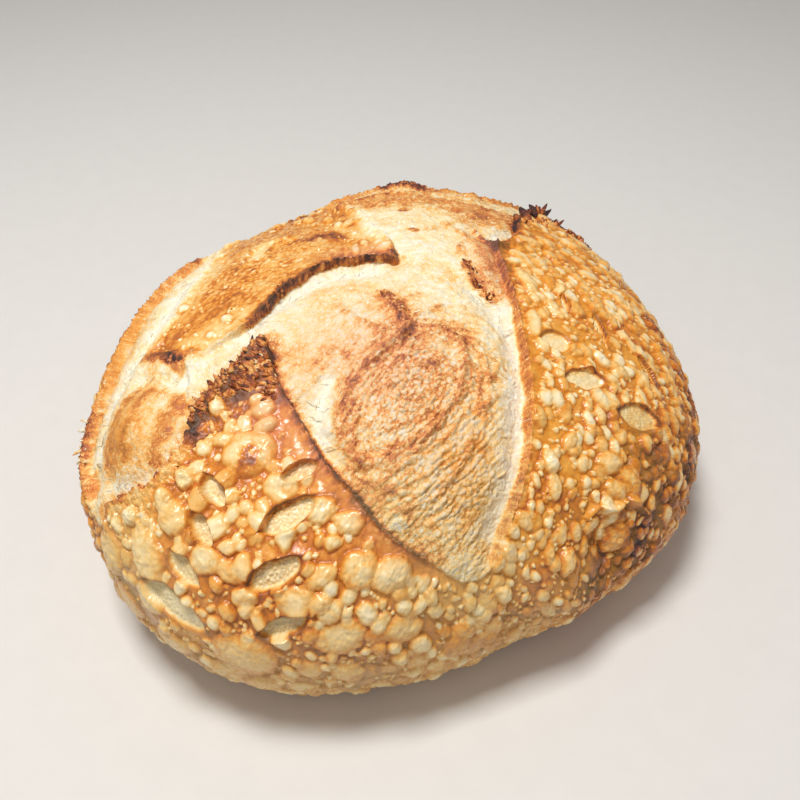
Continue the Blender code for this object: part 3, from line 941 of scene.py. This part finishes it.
def unroll(piece, chart, loops, hidden_loops):
    """A bake map from chart places; hidden walls take no room on it."""
    low, high = chart.min(0), chart.max(0)
    shares = 0.01 + 0.98 * (chart - low) / (high - low).max()
    places = np.vstack([shares[loops], np.zeros((hidden_loops, 2))])
    layer = piece.data.uv_layers.new(name="OFBake")
    layer.data.foreach_set("uv", places.astype(np.float32).ravel())


SKIN_FIELDS = ("bake", "crumb", "bloom", "blush", "pale", "amber")
HEART = np.array([MIDDLE[0], MIDDLE[1], LOW[2] + 0.4 * HEIGHT * MM])  # where the pieces' hidden walls meet


def skin_piece(name, sheet, cells, points, normals):
    """A closed piece of the loaf: a part of the sheet, and walls from its rim to the loaf's heart."""
    used, numbered = np.unique(cells, return_inverse=True)
    numbered = numbered.reshape(cells.shape)
    starts, ends = rim_edges(numbered)
    walls = np.stack([ends, starts, np.full(len(starts), len(used))], -1)
    own_points = np.vstack([points.reshape(-1, 3)[used], HEART])
    own_normals = np.vstack([normals.reshape(-1, 3)[used], [0, 0, 1]])
    piece = make_mesh(name, own_points, [numbered, walls], own_normals)
    for field in SKIN_FIELDS:
        add_field(piece, field, np.append(getattr(sheet, field).ravel()[used], 0))
    chart = np.stack([sheet.u.ravel()[used], sheet.v.ravel()[used]], -1)
    unroll(piece, chart, numbered.ravel(), walls.size)
    return piece


# The crust's pieces, by their start and end in degrees round the loaf
SECTORS = {
    "crust_front_left": (-150, -96),
    "crust_front_right": (-96, -44),
    "crust_right": (-44, 26),
    "crust_back": (26, 124),
    "crust_left": (124, 210),
}
CRUMB_MARGIN = -3.0  # how far inside the crumb's outline the crumb's own piece begins; it takes in the lips


def skin_pieces(sheet, points, normals):
    cells = grid_cells(sheet)
    in_crumb = sheet.clear_depth.ravel()[cells].mean(1) > CRUMB_MARGIN
    azimuth = sheet.azimuth.ravel()[cells[:, 0]]
    pieces = [skin_piece("crumb_top", sheet, cells[in_crumb], points, normals)]
    for name, (start, end) in SECTORS.items():
        chosen = ~in_crumb & ((azimuth - start) % 360 < end - start)
        pieces.append(skin_piece(name, sheet, cells[chosen], points, normals))
    return pieces


BASE_RINGS, RIM_SHARE = 22, 4  # rings of points, and rim points to each point of a ring


def base_piece(sheet, points):
    """The flat, darker underside, closed on top by a wall to the loaf's heart."""
    starts, ends = rim_edges(grid_cells(sheet))
    following = dict(zip(starts.tolist(), ends.tolist()))
    loop = [int(starts[0])]
    while following[loop[-1]] != loop[0]:
        loop.append(following[loop[-1]])
    rim = points.reshape(-1, 3)[loop]
    size = len(rim)
    middle = np.array([*rim[:, :2].mean(0), LOW[2]])
    spoke = rim[: size - size % RIM_SHARE : RIM_SHARE]
    count = len(spoke)
    shares = np.arange(1, BASE_RINGS) / BASE_RINGS
    rings = (spoke + (middle - spoke) * shares[:, None, None]).reshape(-1, 3)
    rings[:, 2] += 0.9 * MM * np.clip(layered(list(rings.T / MM), 9, 91), 0, 1)
    step = np.arange(count)
    ahead = (step + 1) % count
    first = np.arange(count - 1) * RIM_SHARE
    fans = np.stack([first + k for k in range(RIM_SHARE, -1, -1)] + [size + step[:-1], size + ahead[:-1]], -1)
    last_fan = np.array([[0, *range(size - 1, (count - 1) * RIM_SHARE - 1, -1), size + count - 1, size]])
    quads = [
        size + ring * count + np.stack([ahead, step, count + step, count + ahead], -1)
        for ring in range(BASE_RINGS - 2)
    ]
    top = size + len(rings)
    inmost = top - count
    cap = np.stack([inmost + ahead, inmost + step, np.full(count, top)], -1)
    around = np.arange(size)
    walls = np.stack([around, (around + 1) % size, np.full(size, top + 1)], -1)
    shown = [fans, last_fan, np.vstack(quads), cap]
    places = np.vstack([rim, rings, middle, HEART])
    piece = make_mesh("crust_base", places, [*shown, walls])
    unroll(piece, places[:, :2], np.concatenate([group.ravel() for group in shown]), walls.size)
    return piece


# ---------------------------------------------------------------- shards and threads


TUBE_SIDES, TUBE_STEPS = 5, 6

# Rows of charred splinters on torn edges: route, how many, length, half-thickness and bake
Splinters = namedtuple("Splinters", "route count length thickness upright bake")

SPLINTERS = (
    Splinters(((53, 56), (58, 64), (64, 69), (71, 69)), 44, 4.4, 1.8, 0.9, 0.74),
    Splinters(((55, 52), (63, 60), (74, 65), (84, 72)), 90, 1.8, 1.0, 0.8, 0.54),
    Splinters(((-105, -40), (-107, -50), (-105, -58)), 14, 4.0, 0.8, 0.6, 0.22),
    Splinters(((-31, -34), (-36, -41), (-41, -46), (-47, -51), (-51, -57)), 130, 3.6, 1.2, 0.35, 0.70),
    Splinters(((-32, -40), (-36, -46), (-41, -51)), 60, 2.4, 1.1, 0.25, 0.64),
    Splinters(((-35, -36), (-40, -41), (-46, -45), (-53, -54)), 80, 2.8, 1.1, 0.3, 0.62),
    Splinters(((-31, -37), (-33, -44), (-35, -50)), 90, 3.0, 1.3, 0.12, 0.66),
    Splinters(((-29, -40), (-29, -47), (-28, -53)), 50, 2.6, 1.1, 0.12, 0.58),
    Splinters(((-36, -12), (-32, -6), (-27, 0)), 24, 0.9, 0.5, 0.6, 0.84),
    Splinters(((31, 6), (33, 0), (36, -6), (41, -11)), 50, 1.8, 0.7, 0.5, 0.66),
    Splinters(((3, -14), (8, -22), (11, -30)), 40, 1.6, 0.7, 0.4, 0.52),
)

# Strands of gluten that bridge the white rifts: start, end, half-thickness and bake
Bridge = namedtuple("Bridge", "start end thickness bake")

BRIDGES = (
    Bridge((35, -41), (45, -46), 0.75, 0.34),
    Bridge((38, -46), (45, -49), 0.5, 0.24),
    Bridge((38, -86), (43, -83), 0.5, 0.20),
    Bridge((-92, -60), (-101, -57), 0.40, 0.12),
    Bridge((-90, -48), (-99, -52), 0.30, 0.12),
)


def tubes(name, spines, radii, shades):
    """Closed, tapering tubes. spines has each tube's points, radii and shades one value for each of them."""
    ahead = np.gradient(spines, axis=1)
    ahead /= np.linalg.norm(ahead, axis=-1)[..., None]
    side = np.cross(ahead, (0.31, 0.22, 0.93))
    side /= np.linalg.norm(side, axis=-1)[..., None]
    over = np.cross(ahead, side)
    turn = (np.arange(TUBE_SIDES) * 2 * math.pi / TUBE_SIDES)[:, None]
    ring = side[:, :, None] * np.cos(turn) + over[:, :, None] * np.sin(turn)
    points = spines[:, :, None] + ring * radii[..., None, None]
    count, steps = radii.shape
    numbers = np.arange(count * steps * TUBE_SIDES).reshape(count, steps, TUBE_SIDES)
    turned_on = np.roll(numbers, -1, axis=2)
    walls = np.stack([numbers[:, :-1], turned_on[:, :-1], turned_on[:, 1:], numbers[:, 1:]], -1)
    caps = np.concatenate([numbers[:, 0, ::-1], numbers[:, -1]])
    piece = make_mesh(name, points.reshape(-1, 3), [walls.reshape(-1, 4), caps])
    tube, step, share = np.meshgrid(np.arange(count), np.arange(steps - 1), np.arange(TUBE_SIDES), indexing="ij")
    corners = ((0, 0), (0, 1), (1, 1), (1, 0))
    chart = [np.stack([(step + i) / steps, (tube + (share + j) / (TUBE_SIDES + 1)) / count], -1) for i, j in corners]
    chart = np.stack(chart, 3).reshape(-1, 2)
    unroll(piece, chart, np.arange(len(chart)), caps.size)
    fields = {field: shades * 0 for field in SKIN_FIELDS} | {"bake": shades, "crumb": shades * 0 + 1}
    for field, values in fields.items():
        add_field(piece, field, np.repeat(values.ravel(), TUBE_SIDES))
    return piece


def arched(start, top, end):
    """Curves from start to end that pass near top: one row of points for each."""
    share = np.linspace(0, 1, TUBE_STEPS)[:, None]
    start, top, end = start[:, None], top[:, None], end[:, None]
    return start * (1 - share) ** 2 + top * 2 * share * (1 - share) + end * share**2


def splinter_piece(sheet, points, normals):
    """Ragged splinters along the torn edges, leaning over to the right of their routes."""
    rng = np.random.default_rng(101)
    spines, radii, shades = [], [], []
    share = np.linspace(0, 1, TUBE_STEPS)
    for row in SPLINTERS:
        line = smooth_route(row.route)
        number = rng.integers(0, len(line) - 1, row.count)
        run = line[number + 1] - line[number]
        run /= np.linalg.norm(run, axis=1)[:, None]
        right = np.stack([run[:, 1], -run[:, 0]], -1)
        places = line[number] + rng.normal(0, 0.9, (row.count, 2))
        at, beyond = sheet.index(*places.T), sheet.index(*(places + 3 * right).T)
        root, normal = points[at], normals[at]
        lean = points[beyond] - root
        lean /= np.linalg.norm(lean, axis=1)[:, None]
        heading = normal * row.upright + lean * (1 - row.upright) + rng.normal(0, 0.22, (row.count, 3))
        length = row.length * MM * rng.uniform(0.5, 1.2, (row.count, 1))
        top = root + (heading + 0.3 * normal) * length * 0.5
        spines.append(arched(root - 0.8 * MM * normal, top, root + heading * length))
        radii.append(row.thickness * rng.uniform(0.5, 1.2, (row.count, 1)) * MM * (1 - 0.9 * share**1.5))
        shades.append(row.bake - 0.18 + 0.30 * share + rng.normal(0, 0.12, (row.count, 1)))
    return tubes("crust_splinters", np.vstack(spines), np.vstack(radii), np.clip(np.vstack(shades), 0, 1))


FUZZ_COUNT = 260


def thread_piece(sheet, points, normals):
    """Bridging strands, and fine fuzz of torn gluten in the rifts."""
    rng = np.random.default_rng(103)
    weight = sheet.rift * soft_step(sheet.depth, 2.5, 4.5) * (1 - sheet.toasted)
    places = rng.uniform(-CRUST_LENGTH, CRUST_LENGTH, (60 * FUZZ_COUNT, 2))
    chosen = weight[sheet.index(*places.T)] > rng.random(len(places))
    starts = places[chosen][:FUZZ_COUNT]
    heading = rng.uniform(0, math.pi, len(starts))
    reach = rng.uniform(2.0, 6.0, len(starts))
    ends = starts + np.stack([np.cos(heading), np.sin(heading)], -1) * reach[:, None]
    starts = np.vstack([[bridge.start for bridge in BRIDGES], starts])
    ends = np.vstack([[bridge.end for bridge in BRIDGES], ends])
    fuzz = len(starts) - len(BRIDGES)
    lift = np.concatenate([np.full(len(BRIDGES), 0.9), rng.uniform(0.2, 1.6, fuzz)])[:, None] * MM
    first, last = sheet.index(*starts.T), sheet.index(*ends.T)
    top = (points[first] + points[last]) / 2 + (normals[first] + normals[last]) / 2 * lift
    spines = arched(points[first] - 0.3 * MM * normals[first], top, points[last] - 0.3 * MM * normals[last])
    thickness = np.concatenate([[bridge.thickness for bridge in BRIDGES], rng.uniform(0.08, 0.16, fuzz)])
    taper = 0.35 + 0.65 * np.sin(np.linspace(0, math.pi, TUBE_STEPS))
    shade = np.concatenate([[bridge.bake for bridge in BRIDGES], np.clip(sheet.bake[first][-fuzz:], 0, 0.2)])
    return tubes("crumb_threads", spines, thickness[:, None] * MM * taper, shade[:, None] + 0 * taper)


# ---------------------------------------------------------------- materials


def linear(colour):
    """Scene-linear values from an 8-bit sRGB colour."""
    shares = [part / 255 for part in colour]
    return tuple(s / 12.92 if s <= 0.04045 else ((s + 0.055) / 1.055) ** 2.4 for s in shares)


class Shader:
    """A node material, built up node by node. A value may be a number, a colour or another node's socket."""

    def __init__(self, name):
        self.material = bpy.data.materials.new(name)
        self.material.use_nodes = True
        self.tree = self.material.node_tree
        self.surface = self.tree.nodes["Principled BSDF"].inputs

    def plug(self, socket, value):
        if isinstance(value, bpy.types.NodeSocket):
            self.tree.links.new(value, socket)
        elif isinstance(value, tuple):
            socket.default_value = (*linear(value), 1)
        else:
            socket.default_value = value

    def node(self, kind, inputs, **settings):
        made = self.tree.nodes.new("ShaderNode" + kind)
        for name, value in settings.items():
            setattr(made, name, value)
        for socket, value in inputs.items():
            self.plug(made.inputs[socket], value)
        return made

    def math(self, operation, *values, clamp=False):
        return self.node("Math", dict(enumerate(values)), operation=operation, use_clamp=clamp).outputs[0]

    def blend(self, *weighted):
        """The sum of values, each with its weight."""
        total = 0.0
        for value, weight in weighted:
            total = self.math("MULTIPLY_ADD", value, weight, total)
        return total

    def field(self, name):
        return self.node("Attribute", {}, attribute_name=name).outputs["Fac"]

    def noise(self, scale, detail=3.0, roughness=0.6, distortion=0.0):
        where = self.node("TexCoord", {}).outputs["Object"]
        inputs = {"Vector": where, "Scale": scale, "Detail": detail, "Roughness": roughness, "Distortion": distortion}
        return self.node("TexNoise", inputs).outputs["Fac"]

    def web(self, scale, wander, width):
        """Thin lines round uneven cells, 1 on the lines. wander bends them, in metres."""
        where = self.node("TexCoord", {}).outputs["Object"]
        drift = self.node("TexNoise", {"Vector": where, "Scale": 0.5 * scale, "Detail": 2.0}).outputs["Color"]
        drift = self.node("VectorMath", {0: drift, "Scale": wander}, operation="SCALE").outputs[0]
        bent = self.node("VectorMath", {0: where, 1: drift}, operation="ADD").outputs[0]
        cells = self.node("TexVoronoi", {"Vector": bent, "Scale": scale}, feature="DISTANCE_TO_EDGE")
        return self.math("MULTIPLY_ADD", cells.outputs["Distance"], -1 / width, 1.0, clamp=True)

    def ramp(self, share, stops):
        made = self.node("ValToRGB", {"Fac": share})
        elements = made.color_ramp.elements
        while len(elements) < len(stops):
            elements.new(0.5)
        for element, (place, colour) in zip(elements, stops):
            element.position = place
            element.color = (*linear(colour), 1)
        return made.outputs["Color"]

    def mix(self, share, first, second, blend_type="MIX"):
        made = self.node("Mix", {0: share}, data_type="RGBA", blend_type=blend_type)
        self.plug(made.inputs[6], first)
        self.plug(made.inputs[7], second)
        return made.outputs[2]

    def bump(self, height, strength, distance):
        inputs = {"Height": height, "Strength": strength, "Distance": distance}
        self.plug(self.surface["Normal"], self.node("Bump", inputs).outputs["Normal"])


CRUST_TONES = (
    (0.00, (250, 236, 204)),
    (0.18, (247, 220, 164)),
    (0.34, (242, 194, 118)),
    (0.48, (230, 158, 68)),
    (0.60, (204, 112, 36)),
    (0.74, (146, 76, 38)),
    (0.87, (92, 50, 40)),
    (1.00, (52, 33, 32)),
)
CRUMB_TONES = (
    (0.00, (246, 243, 228)),
    (0.14, (250, 238, 206)),
    (0.28, (252, 222, 162)),
    (0.42, (248, 188, 102)),
    (0.54, (230, 144, 64)),
    (0.70, (188, 98, 52)),
    (0.84, (106, 54, 40)),
    (1.00, (50, 34, 36)),
)
BLUSH = (222, 146, 112)
CLEAR_PALE = (206, 186, 124)
AMBER = (230, 156, 44)


def skin_material():
    """Blistered crust and torn crumb in one material, told apart by the crumb field."""
    shader = Shader("loaf_skin")
    # The bake field holds the baking and the painted shade worked into it.
    crumb, bake_and_shade = shader.field("crumb"), shader.field("bake")
    coarse, fine = shader.noise(420, 4.0, 0.65), shader.noise(1500, 3.0, 0.65)
    hairs = [shader.math("ABSOLUTE", shader.math("SUBTRACT", noise, 0.5))
             for noise in (shader.noise(230, 3.0, 0.6, 2.6), shader.noise(420, 3.0, 0.6, 2.2))]
    hair = shader.math("SUBTRACT", 0.06, shader.math("MINIMUM", *hairs))
    hair = shader.math("MULTIPLY", hair, crumb)
    webbed = shader.math("MAXIMUM", shader.field("bloom"), shader.math("MULTIPLY_ADD", crumb, -0.12, 0.12))
    web = shader.math("MULTIPLY", shader.web(410, 0.0014, 0.2), webbed)
    speckle = shader.math("SUBTRACT", shader.blend((coarse, 0.6), (fine, 0.4)), 0.5)
    amount = shader.math("MULTIPLY_ADD", crumb, 0.02, 0.28)
    level = shader.blend((bake_and_shade, 1.0), (hair, 2.8), (web, 0.28))
    baked = shader.math("MULTIPLY_ADD", speckle, amount, level, clamp=True)
    colour = shader.mix(crumb, shader.ramp(baked, CRUST_TONES), shader.ramp(baked, CRUMB_TONES))
    for field, share, tint in (("blush", 0.38, BLUSH), ("pale", 0.55, CLEAR_PALE), ("amber", 0.46, AMBER)):
        colour = shader.mix(shader.math("MULTIPLY", shader.field(field), share), colour, tint)
    shader.plug(shader.surface["Base Color"], colour)
    dry = shader.math("MULTIPLY", crumb, shader.math("MULTIPLY_ADD", bake_and_shade, -1.6, 1.0, clamp=True))
    dry = shader.math("MULTIPLY", dry, shader.math("MULTIPLY_ADD", shader.field("bloom"), -0.5, 1.0))
    charred = shader.math("MULTIPLY_ADD", bake_and_shade, 3.0, -1.7, clamp=True)
    rough = shader.blend((dry, 0.55), (charred, 0.3), (1.0, 0.25))
    shader.plug(shader.surface["Roughness"], rough)
    strength = shader.blend((crumb, 0.62), (charred, 0.3), (1.0, 0.12))
    shader.bump(shader.blend((coarse, 0.5), (fine, 0.3), (hair, 1.2), (web, -0.2)), strength, 0.0012)
    shader.surface["Specular IOR Level"].default_value = 0.5
    return shader.material


def base_material():
    shader = Shader("loaf_base")
    relief = shader.blend((shader.noise(60, 4.0), 0.6), (shader.noise(700, 4.0), 0.4))
    stops = ((0.25, (120, 66, 36)), (0.45, (176, 108, 54)), (0.6, (205, 145, 84)), (0.8, (226, 190, 140)))
    shader.plug(shader.surface["Base Color"], shader.ramp(relief, stops))
    shader.bump(relief, 0.5, 0.001)
    shader.surface["Roughness"].default_value = 0.75
    return shader.material


def floor_material():
    shader = Shader("floor_paper")
    shader.plug(shader.surface["Base Color"], shader.mix(shader.noise(90), (226, 222, 216), (220, 216, 210)))
    shader.surface["Roughness"].default_value = 0.9
    return shader.material


# ---------------------------------------------------------------- stage


CAMERA_TARGET = (-0.3, -1.7, 39.5)  # from the middle of the loaf's plan, at floor height, in millimetres
CAMERA_DISTANCE = 0.3447
CAMERA_ELEVATION = math.radians(42)
CAMERA_LENS = 40


def add_camera():
    camera = bpy.data.cameras.new("camera")
    camera.lens = CAMERA_LENS
    camera.clip_start = 0.01
    view = bpy.data.objects.new("camera", camera)
    target = np.array([MIDDLE[0], MIDDLE[1], LOW[2]]) + np.array(CAMERA_TARGET) * MM
    back = np.array([0, -math.cos(CAMERA_ELEVATION), math.sin(CAMERA_ELEVATION)])
    view.location = target + CAMERA_DISTANCE * back
    view.rotation_euler = (math.pi / 2 - CAMERA_ELEVATION, 0, 0)
    bpy.context.scene.collection.objects.link(view)
    bpy.context.scene.camera = view


def add_floor():
    size = 3.0
    corners = np.array([[-size, -size, LOW[2]], [size, -size, LOW[2]], [size, size, LOW[2]], [-size, size, LOW[2]]])
    floor = make_mesh("floor", corners, [np.array([[0, 1, 2, 3]])])
    floor.data.materials.append(floor_material())


def add_light(name, place, size, power):
    """A square soft light that faces the loaf."""
    light = bpy.data.lights.new(name, "AREA")
    light.size = size
    light.energy = power
    lamp = bpy.data.objects.new(name, light)
    lamp.location = place
    aim = MIDDLE - np.array(place)
    lamp.rotation_euler = (math.atan2(math.hypot(aim[0], aim[1]), -aim[2]), 0, math.atan2(-aim[0], aim[1]))
    bpy.context.scene.collection.objects.link(lamp)


def add_lights():
    add_light("key", (-0.16, -0.10, 1.0), 0.26, 8.4)
    add_light("fill", (-0.20, -0.9, 0.9), 0.8, 1.4)
    world = bpy.data.worlds.new("soft_room")
    world.use_nodes = True
    background = world.node_tree.nodes["Background"].inputs
    background["Color"].default_value = (1, 1, 1, 1)
    background["Strength"].default_value = 0.27
    bpy.context.scene.world = world
    bpy.context.scene.view_settings.view_transform = "Standard"


# ---------------------------------------------------------------- the loaf


def make_sheet():
    sheet = Sheet()
    open_cuts(sheet)
    swell(sheet)
    sink_rifts(sheet)
    roughen_crumb(sheet)
    lay_strands(sheet)
    roughen_crust(sheet)
    score_leaves(sheet)
    blister_crust(sheet)
    return sheet


def make_loaf():
    sheet = make_sheet()
    points, normals = bend(sheet)
    skin = skin_material()
    pieces = skin_pieces(sheet, points, normals)
    pieces += [splinter_piece(sheet, points, normals), thread_piece(sheet, points, normals)]
    for piece in pieces:
        piece.data.materials.append(skin)
    base = base_piece(sheet, points)
    base.data.materials.append(base_material())
    for piece in [*pieces, base]:
        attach(piece, "root")
        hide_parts("loaf")


make_loaf()
add_floor()
add_lights()
add_camera()
